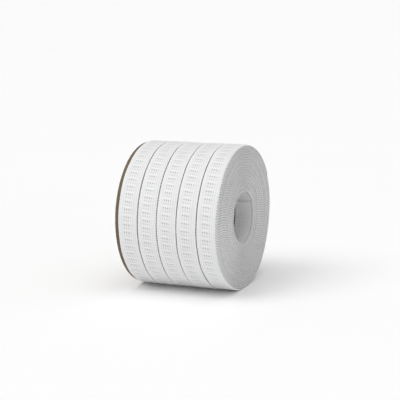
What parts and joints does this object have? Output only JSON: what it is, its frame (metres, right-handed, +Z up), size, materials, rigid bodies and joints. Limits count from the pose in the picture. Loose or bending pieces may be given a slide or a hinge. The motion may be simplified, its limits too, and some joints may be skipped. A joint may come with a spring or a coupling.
{
  "type": "roll of elastic",
  "caption": "White woven ribbed elastic wound in side-by-side bands into a round roll with an open bore and a brown board disc at one end.",
  "frame": {"origin": "on the surface the roll stands on, under the middle of its length", "axes": "+X along the roll's axis, away from the board disc; -Y towards the roll's front; +Z up"},
  "size_m": [0.0662, 0.0894, 0.0885],
  "materials": {
    "white_elastic": "matt white polyester weave with crosswise ribs and fine lengthwise ribs",
    "brown_board": "matt grey-brown board, fibrous, its plies showing at the rim"
  },
  "bodies": {
    "root": {"elastic_roll": "white_elastic", "end_disc": "brown_board"}
  },
  "joints": []
}
